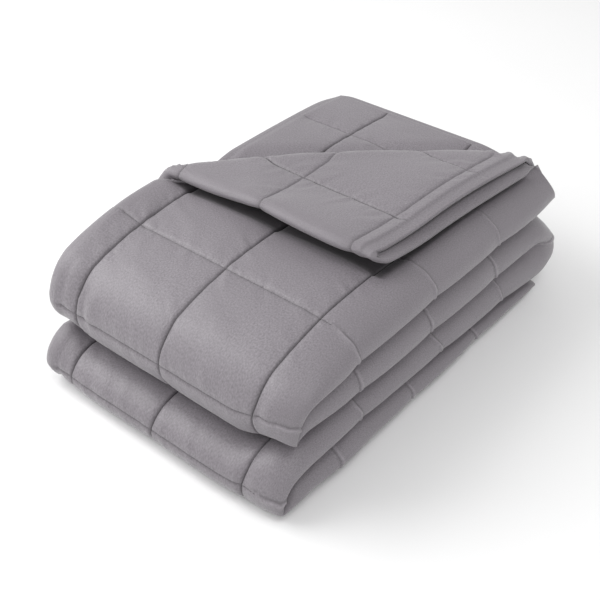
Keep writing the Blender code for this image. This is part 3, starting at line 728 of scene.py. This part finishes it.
def creases(length, outline):
    """How high the single creases of WRINKLES lift face A, or how far they sink it."""
    match, x, _ = outline.T
    first, last = FACE_A
    on_face = (match > first) & (match < last)
    height = np.zeros(x.shape)
    for x1, row1, x2, row2, width, lift in WRINKLES:
        start, end = np.interp((row1, row2), range(len(LENGTHS)), LENGTHS)
        run = np.array([x2 - x1, end - start])
        share = ((x - x1) * run[0] + (length - start) * run[1]) / (run @ run)
        nearest = np.clip(share, 0, 1)
        aside = np.hypot(x - x1 - nearest * run[0], length - start - nearest * run[1])
        bend = WRINKLE_BEND * np.sin(2 * np.pi * nearest + x1)
        tapered = np.sin(np.pi * (WRINKLE_TAPER + (1 - 2 * WRINKLE_TAPER) * nearest))
        height += on_face * lift * tapered * np.exp(-(((aside + bend) / width) ** 2))
    return height


def kept(length, outline):
    """How much of the relief stays: less where the cloth is pressed, drawn taut or hidden."""
    match, x, _ = outline.T
    in_top_strip = length <= TOP_STRIP_LENGTH
    pressed = np.interp(length, LENGTHS[list(PRESSED["rows"])], PRESSED["keeps"])
    keeps = np.where(match > OUTER_TIP, pressed, 1.0)
    keeps = keeps + (SIDE_KEEPS - keeps) * smooth(x, *FOLD_SIDE)
    keeps = np.where((match > LEFT_FOLD) & (match < SECOND), keeps * FOLD_KEEPS, keeps)
    if not in_top_strip:
        return np.where(match >= LEFT_FOLD, 0.0, keeps)
    a_y = station(length)[A_Y]
    keeps = keeps * (1 - TAUT * np.exp(-((past_crest(x, a_y) / TAUT_AT - 1) ** 2)))
    return keeps * smooth(hem_distance(match, x, a_y, in_top_strip), *HEM_PUFF)


def bell(distance, width):
    """1 at no distance, falling off to both sides."""
    return np.exp(-((distance / width) ** 2))


def on_ridges(outline):
    """1 on the right-hand fold's side, where the sewn lines stand up as ridges, and 0 elsewhere."""
    return smooth(outline[:, 1], *RIDGE_RAMP) * (outline[:, 0] < TOP)


def relief(length, outline):
    """How deep the outer face lies under its pockets' crowns."""
    across, along = seam_distances(length, outline)
    crown = 1 - (1 - drawn_in(across, SEAM_PITCH_X)) * (1 - drawn_in(along, SEAM_PITCH_Y))
    crease = np.maximum(np.exp(-across / SEAM_WIDTH), CROSS_SEAM * np.exp(-along / SEAM_WIDTH))
    depth = CROWN * crown + SEAM_DEPTH * crease + puckers(length, outline, across, along)
    ridge = bell(beside_seam(length, outline[:, 0]) - RIDGE_SHIFT, RIDGE_WIDTH)
    raised = SIDE_RIDGE * on_ridges(outline) * ridge + creases(length, outline)
    return depth * kept(length, outline) - raised + COVER_SINK * under_flap_shade(length, outline)


def stations():
    """The distances along the strip of the rows of points, with each one's spacing across."""
    lines = [line for name in ("top", "second", "third") for line in seam_lines(name, 1)]
    lines.append(ROWS[0, A_Y] - HEM_WIDTH)
    top = [(top_length(y), FINE, COARSE, FINE) for y in spread(0.0, ROWS[0, A_Y], FINE, lines)[::-1]]
    rest = []
    start = LENGTHS[TOP_END]
    for last_row, along, step_a, step_b in STRETCHES:
        for length in spread(start, LENGTHS[last_row], along, SEAM_LENGTHS)[1:]:
            rest.append((float(length), step_a, step_b, COARSE))
        start = LENGTHS[last_row]
    return top + rest


def fill_between(faces, first, second):
    """Fills the space between two rows of (matches, first index), which may differ in number."""
    (matches, start), (others, other_start) = first, second
    if len(matches) == len(others) and np.allclose(matches, others):
        for i, match in enumerate(matches[:-1]):
            corners = (start + i, start + i + 1, other_start + i + 1, other_start + i)
            # the layers that run rightwards are split the other way, so that all are split along the crest
            faces.append(corners[1:] + corners[:1] if SECOND <= match < INNER_FOLD else corners)
        return
    i = j = 0
    while i < len(matches) - 1 or j < len(others) - 1:
        at_end = i == len(matches) - 1
        if j == len(others) - 1 or not at_end and matches[i + 1] <= others[j + 1]:
            faces.append((start + i, start + i + 1, other_start + j))
            i += 1
        else:
            faces.append((start + i, other_start + j + 1, other_start + j))
            j += 1


def sewn_points(length, outline):
    """Which points of the outer face lie on a sewn line across the strip, and which on one along it."""
    match, x, _ = outline.T
    across, along = seam_distances(length, outline)
    in_top_strip = length <= TOP_STRIP_LENGTH
    shows = kept(length, outline) > SEWN
    a_y = station(length)[A_Y]
    crosswise = shows & (along < SAME)
    if in_top_strip and abs(ROWS[0, A_Y] - a_y - HEM_WIDTH) < SAME:
        crosswise = hem_distance(match, x, a_y, False) > HEM_WIDTH
    return crosswise, shows & (across < SAME) & (match.astype(int) != LEFT_FOLD)


def sewn_lines(rows):
    """The sewn lines as lists of point numbers, from the rows of points."""
    crosswise_lines, lengthwise_lines = [], {}
    for length, outline, outer, first in rows:
        if not outer:
            continue
        crosswise, lengthwise = sewn_points(length, outline)
        number = np.flatnonzero(crosswise)
        runs = np.split(number, np.flatnonzero(np.diff(number) > 1) + 1)
        crosswise_lines += [first + run for run in runs if len(run) > 1]
        for i in np.flatnonzero(lengthwise):
            layer_and_line = int(outline[i, 0]), round(outline[i, 1] / LINE_APART)
            lengthwise_lines.setdefault(layer_and_line, []).append(first + i)
    return crosswise_lines + [np.array(line) for line in lengthwise_lines.values() if len(line) > 1]


def stitches_on(line, points, normals):
    """Where the stitches of a line start and end, with the normal at each."""
    at = points[line] + normals[line] * THREAD_LIFT
    steps = np.linalg.norm(np.diff(at, axis=0), axis=1)
    distance = np.concatenate([[0.0], np.cumsum(steps)])
    starts = np.arange(STITCH_GAP, distance[-1] - STITCH, STITCH + STITCH_GAP)
    broken = np.interp(starts, distance[1:], steps > LONGEST_STEP) > 0
    starts = starts[~broken]
    ends = starts + STITCH
    return [
        np.stack([np.interp(where, distance, values[:, axis]) for axis in range(3)], 1)
        for where, values in ((starts, at), (ends, at), (starts, normals[line]))
    ]


def new_piece(name, points, faces):
    """A smooth object of these points, which are in millimetres."""
    mesh = bpy.data.meshes.new(name)
    mesh.from_pydata((points * MM).tolist(), [], faces)
    mesh.shade_smooth()
    piece = bpy.data.objects.new(name, mesh)
    bpy.context.scene.collection.objects.link(piece)
    return piece


def unit(vectors):
    """The vectors at length 1."""
    return vectors / np.maximum(np.linalg.norm(vectors, axis=1, keepdims=True), SAME)


def stitching_piece(lines, points, normals):
    """The sewing thread: each stitch is a short spindle lying in its seam."""
    parts = [stitches_on(line, points, normals) for line in lines]
    start, end, normal = (np.concatenate([part[k] for part in parts]) for k in range(3))
    run = unit(end - start)
    side = unit(np.cross(run, normal))
    up = np.cross(side, run)
    rings = []
    for share in STITCH_RINGS:
        middle = start + (end - start) * share
        rings += [middle + way * THREAD_RADIUS for way in (side, up, -side, -up)]
    # a spindle's ten points: its start, the first ring's four, the second's four, and its end
    corners = np.stack([start, *rings, end], 1)
    spindle = [(0, 1 + (k + 1) % 4, 1 + k) for k in range(4)]
    spindle += [(1 + k, 1 + (k + 1) % 4, 5 + (k + 1) % 4, 5 + k) for k in range(4)]
    spindle += [(9, 5 + k, 5 + (k + 1) % 4) for k in range(4)]
    firsts = range(0, 10 * len(start), 10)
    faces = [tuple(first + corner for corner in face) for first in firsts for face in spindle]
    return new_piece("stitching", corners.reshape(-1, 3), faces)


def vertex_normals(points, faces):
    """The outward direction at each point, from the faces round it, weighted by their areas."""
    halves = [face[:3] for face in faces] + [(face[0], *face[2:]) for face in faces if len(face) == 4]
    triangles = np.array(halves)
    first, second, third = (points[triangles[:, corner]] for corner in range(3))
    cross = np.cross(second - first, third - first)
    normals = np.zeros_like(points)
    for corner in range(3):
        np.add.at(normals, triangles[:, corner], cross)
    return normals / np.maximum(np.linalg.norm(normals, axis=1, keepdims=True), SMALLEST)


def seam_shade_and_ridge_highlight(length, outline):
    """Painted shade and highlight: 1 on a lengthwise sewn line, less on a crosswise one, below 0 for the
    painted highlight on a ridge of the right-hand side, above 0 for the painted shade at its edge.
    """
    across, along = seam_distances(length, outline)
    line = np.maximum(bell(across, SEAM_PAINT_REACH), CROSS_SEAM_SHADE * bell(along, SEAM_PAINT_REACH))
    on_side = on_ridges(outline)
    aside = beside_seam(length, outline[:, 0])
    ridge = RIDGE_SHADE * bell(aside + RIDGE_SHIFT, SEAM_PAINT_REACH) - bell(aside - RIDGE_SHIFT, SEAM_PAINT_REACH)
    return line * np.minimum(kept(length, outline) / SEWN, 1.0) * (1 - on_side) + ridge * on_side


def under_flap_shade(length, outline):
    """1 where the turned corner lies over the top layer, out of the light, and 0 elsewhere: there the
    cloth is sunk and darkened with painted shade.
    """
    match, x, _ = outline.T
    if length > TOP_STRIP_LENGTH:
        return np.zeros(x.shape)
    y = station(length)[A_Y]
    start, radius, _ = bend_at(x, y)
    edge = start + math.pi * radius / math.sqrt(2) + LEFT - FOLD_BULGE
    shaded = smooth(y - edge, *COVER_RAMP) * (past_crest(x, y, start) < 0)
    return shaded * (1 - smooth(x, *COVER_END)) * ((match > OUTER_TIP) & (match < LEFT_FOLD))


def quilt_rows():
    """The rows of points: each one's length, outline, whether it is the outer face, first number."""
    rows, count = [], 0
    for length, step_a, step_b, step_inside in stations():
        row = station(length)
        outlines = outer_face(row, step_a, step_b, step_inside), inner_face(row, step_inside)
        for outline, outer in zip(outlines, (True, False)):
            rows.append((length, outline, outer, count))
            count += len(outline)
    return rows


def quilt_faces(rows):
    """The faces of the cloth: its outer face, its inner one, the hems' edges and both ends."""
    numbered = [(outline[:, 0], first) for _, outline, _, first in rows]
    sections = list(zip(numbered[::2], numbered[1::2]))
    faces = []
    for (outer, inner), (next_outer, next_inner) in zip(sections, sections[1:]):
        fill_between(faces, outer, next_outer)
        fill_between(faces, next_inner, inner)
        lower_hem = outer[1], next_outer[1], next_inner[1], inner[1]
        corners = inner, next_inner, next_outer, outer
        upper_hem = tuple(start + len(matches) - 1 for matches, start in corners)
        faces += [lower_hem, upper_hem]
    (outer, inner), (last_outer, last_inner) = sections[0], sections[-1]
    fill_between(faces, inner, outer)
    fill_between(faces, last_outer, last_inner)
    return faces


def on_outer_face(rows, measure):
    """The measure at each point of the outer face, and 0 at those of the inner one."""
    values = [measure(length, outline) * outer for length, outline, outer, _ in rows]
    return np.concatenate(values)


def add_cloth_data(mesh, rows):
    """Gives the mesh the flat cloth's coordinates, the distances to its seams, and the masks of the
    painted shade and highlight that its material adds.
    """
    flat = [np.stack([outline[:, 0] * 2 * SEAM_PITCH_X, np.full(len(outline), length)], 1)
            for length, outline, _, _ in rows]
    uv = mesh.uv_layers.new(name="cloth")
    corner_vertices = np.empty(len(mesh.loops), dtype=np.int32)
    mesh.loops.foreach_get("vertex_index", corner_vertices)
    uv.data.foreach_set("uv", (np.concatenate(flat) * MM)[corner_vertices].astype(np.float32).ravel())
    to_seam = [np.minimum(*seam_distances(length, outline)) for length, outline, _, _ in rows]
    measures = (
        ("seam", np.concatenate(to_seam)),
        ("line", on_outer_face(rows, seam_shade_and_ridge_highlight)),
        ("under_flap_shade", on_outer_face(rows, under_flap_shade)),
    )
    for name, values in measures:
        attribute = mesh.attributes.new(name, "FLOAT", "POINT")
        attribute.data.foreach_set("value", values.astype(np.float32))


def quilt_pieces():
    """The whole blanket and its sewing thread."""
    rows = quilt_rows()
    faces = quilt_faces(rows)
    points = np.concatenate([place(length, outline, outer) for length, outline, outer, _ in rows])
    points -= vertex_normals(points, faces) * on_outer_face(rows, relief)[:, None]
    points[:, 2] = np.maximum(points[:, 2], 0.0)
    stitching = stitching_piece(sewn_lines(rows), points, vertex_normals(points, faces))
    quilt = new_piece("quilt", points, faces)
    add_cloth_data(quilt.data, rows)
    return quilt, stitching


def new_material(name):
    """A material, its node tree and its shader."""
    material = bpy.data.materials.new(name)
    material.use_nodes = True
    return material, material.node_tree, material.node_tree.nodes["Principled BSDF"]


def node(tree, kind, **inputs):
    """A shader node with these inputs set or linked."""
    made = tree.nodes.new(kind)
    for name, value in inputs.items():
        socket = made.inputs[name.replace("_", " ")]
        if isinstance(value, bpy.types.NodeSocket):
            tree.links.new(value, socket)
        else:
            socket.default_value = value
    return made


def ranged(tree, value, low, high, new_low=0.0, new_high=1.0):
    """The value spread from low and high to the new ones, and held there beyond."""
    limits = {"From_Min": low, "From_Max": high, "To_Min": new_low, "To_Max": new_high}
    return node(tree, "ShaderNodeMapRange", Value=value, **limits).outputs["Result"]


def mixed(tree, factor, first, second):
    """A colour between the first and the second, either of which may be a socket."""
    made = tree.nodes.new("ShaderNodeMix")
    made.data_type = "RGBA"
    tree.links.new(factor, made.inputs[0])
    for number, colour in ((6, first), (7, second)):
        if isinstance(colour, bpy.types.NodeSocket):
            tree.links.new(colour, made.inputs[number])
        else:
            made.inputs[number].default_value = (*colour, 1)
    return made.outputs[2]


def attribute_of(tree, name):
    """The value of one of the mesh's own attributes."""
    made = tree.nodes.new("ShaderNodeAttribute")
    made.attribute_name = name
    return made.outputs["Fac"]


def cloth_noises(tree):
    """The outputs of the noises of NOISES, by name."""
    coordinates = tree.nodes.new("ShaderNodeTexCoord").outputs["UV"]
    stretched = node(tree, "ShaderNodeMapping", Vector=coordinates, Scale=STREAK_STRETCH)
    noises = {}
    for name, (scale, detail) in NOISES.items():
        vector = stretched.outputs["Vector"] if name == "streaks" else coordinates
        noise = node(tree, "ShaderNodeTexNoise", Vector=vector, Scale=scale, Detail=detail)
        noises[name] = noise.outputs["Fac"]
    return noises


def cloth_material():
    """A fine grey sateen: streaks of thread, blotches, crumples, painted shade along the seams and a
    painted highlight on the side's ridges.

    It is darker where the turned corner lies over it, which is painted shade.
    """
    material, tree, shader = new_material("grey sateen")
    noises = cloth_noises(tree)
    colour = mixed(tree, ranged(tree, noises["grain"], *GRAIN_RANGE), CLOTH_DARK, CLOTH_LIGHT)
    for name, low, high, at_low, at_high, tint in TINTS:
        value = noises[name] if name in noises else attribute_of(tree, name)
        colour = mixed(tree, ranged(tree, value, low, high, at_low, at_high), colour, tint)
    tree.links.new(colour, shader.inputs["Base Color"])
    near_seam = ranged(tree, attribute_of(tree, "seam"), *CRUMPLE_RANGE)
    bumps = [node(tree, "ShaderNodeBump", Height=noises[name], Strength=strength, Distance=height)
             for name, strength, height in BUMPS]
    crumpled = {"Height": noises["crumples"], "Strength": near_seam, "Distance": CRUMPLE_HEIGHT}
    bumps.append(node(tree, "ShaderNodeBump", **crumpled))
    for bump, next_bump in zip(bumps, bumps[1:]):
        tree.links.new(bump.outputs["Normal"], next_bump.inputs["Normal"])
    tree.links.new(bumps[-1].outputs["Normal"], shader.inputs["Normal"])
    shader.inputs["Roughness"].default_value = 0.46
    shader.inputs["Specular IOR Level"].default_value = 0.55
    shader.inputs["Sheen Weight"].default_value = 0.25
    shader.inputs["Sheen Roughness"].default_value = 0.4
    return material


def thread_material():
    """A slightly darker spun thread."""
    material, tree, shader = new_material("grey thread")
    coordinates = tree.nodes.new("ShaderNodeTexCoord").outputs["Object"]
    fibres = node(tree, "ShaderNodeTexNoise", Vector=coordinates, Scale=2500.0, Detail=2.0).outputs["Fac"]
    tone = mixed(tree, ranged(tree, fibres, *GRAIN_RANGE), THREAD_DARK, THREAD_LIGHT)
    tree.links.new(tone, shader.inputs["Base Color"])
    bump = node(tree, "ShaderNodeBump", Height=fibres, Strength=0.4, Distance=0.0002)
    tree.links.new(bump.outputs["Normal"], shader.inputs["Normal"])
    shader.inputs["Roughness"].default_value = 0.6
    return material


def add_floor():
    mesh = bpy.data.meshes.new("floor")
    around = ((-1, -1), (1, -1), (1, 1), (-1, 1))
    corners = [(x * FLOOR_REACH, y * FLOOR_REACH, FLOOR_HEIGHT) for x, y in around]
    mesh.from_pydata(corners, [], [(0, 1, 2, 3)])
    floor = bpy.data.objects.new("floor", mesh)
    bpy.context.scene.collection.objects.link(floor)
    material, tree, shader = new_material("white floor")
    coordinates = tree.nodes.new("ShaderNodeTexCoord").outputs["Object"]
    cloudy = node(tree, "ShaderNodeTexNoise", Vector=coordinates, Scale=3.0)
    tone = mixed(tree, cloudy.outputs["Fac"], FLOOR_DARK, FLOOR_LIGHT)
    tree.links.new(tone, shader.inputs["Base Color"])
    shader.inputs["Roughness"].default_value = 0.8
    mesh.materials.append(material)


# The studio, in the frame's metres and degrees
FLOOR_REACH = 6.0
FLOOR_HEIGHT = -0.0005
LIGHTS = (
    # name, azimuth, elevation, distance, size, power
    ("key", -62.0, 40.0, 2.0, 1.6, 29.0),
    ("top", 75.0, 66.0, 2.4, 0.8, 9.0),
    ("right", 60.0, 22.0, 1.3, 0.6, 0.8),
)
SURROUND = 0.72  # how strong the white surroundings are
LENS = 60.0
SENSOR = 36.0
TARGET = ((157.5 - MIDDLE[0]) * MM, (63.2 - MIDDLE[1]) * MM, 97.1 * MM)
AZIMUTH = 39.665
ELEVATION = 37.886
DISTANCE = 1.0056


def direction(azimuth, elevation):
    """From the blanket towards an azimuth, counted from -Y towards +X, and an elevation."""
    around, up = math.radians(azimuth), math.radians(elevation)
    return Vector((math.sin(around) * math.cos(up), -math.cos(around) * math.cos(up), math.sin(up)))


def add_camera():
    camera = bpy.data.objects.new("camera", bpy.data.cameras.new("camera"))
    bpy.context.scene.collection.objects.link(camera)
    camera.data.lens = LENS
    camera.data.sensor_width = SENSOR
    back = direction(AZIMUTH, ELEVATION)
    camera.location = Vector(TARGET) + back * DISTANCE
    camera.rotation_euler = (-back).to_track_quat("-Z", "Y").to_euler()
    bpy.context.scene.camera = camera


def add_lights():
    for name, azimuth, elevation, distance, size, power in LIGHTS:
        lamp = bpy.data.lights.new(name, "AREA")
        lamp.energy = power
        lamp.size = size
        light = bpy.data.objects.new(name, lamp)
        back = direction(azimuth, elevation)
        light.location = back * distance
        light.rotation_euler = (-back).to_track_quat("-Z", "Y").to_euler()
        bpy.context.scene.collection.objects.link(light)
    world = bpy.data.worlds.new("studio")
    bpy.context.scene.world = world
    world.use_nodes = True
    background = world.node_tree.nodes["Background"]
    background.inputs["Color"].default_value = (1, 1, 1, 1)
    background.inputs["Strength"].default_value = SURROUND
    bpy.context.scene.view_settings.view_transform = "Standard"


def main():
    quilt, stitching = quilt_pieces()
    quilt.data.materials.append(cloth_material())
    stitching.data.materials.append(thread_material())
    for piece in (quilt, stitching):
        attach(piece, "root")
    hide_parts("blanket")
    add_floor()
    add_camera()
    add_lights()


main()
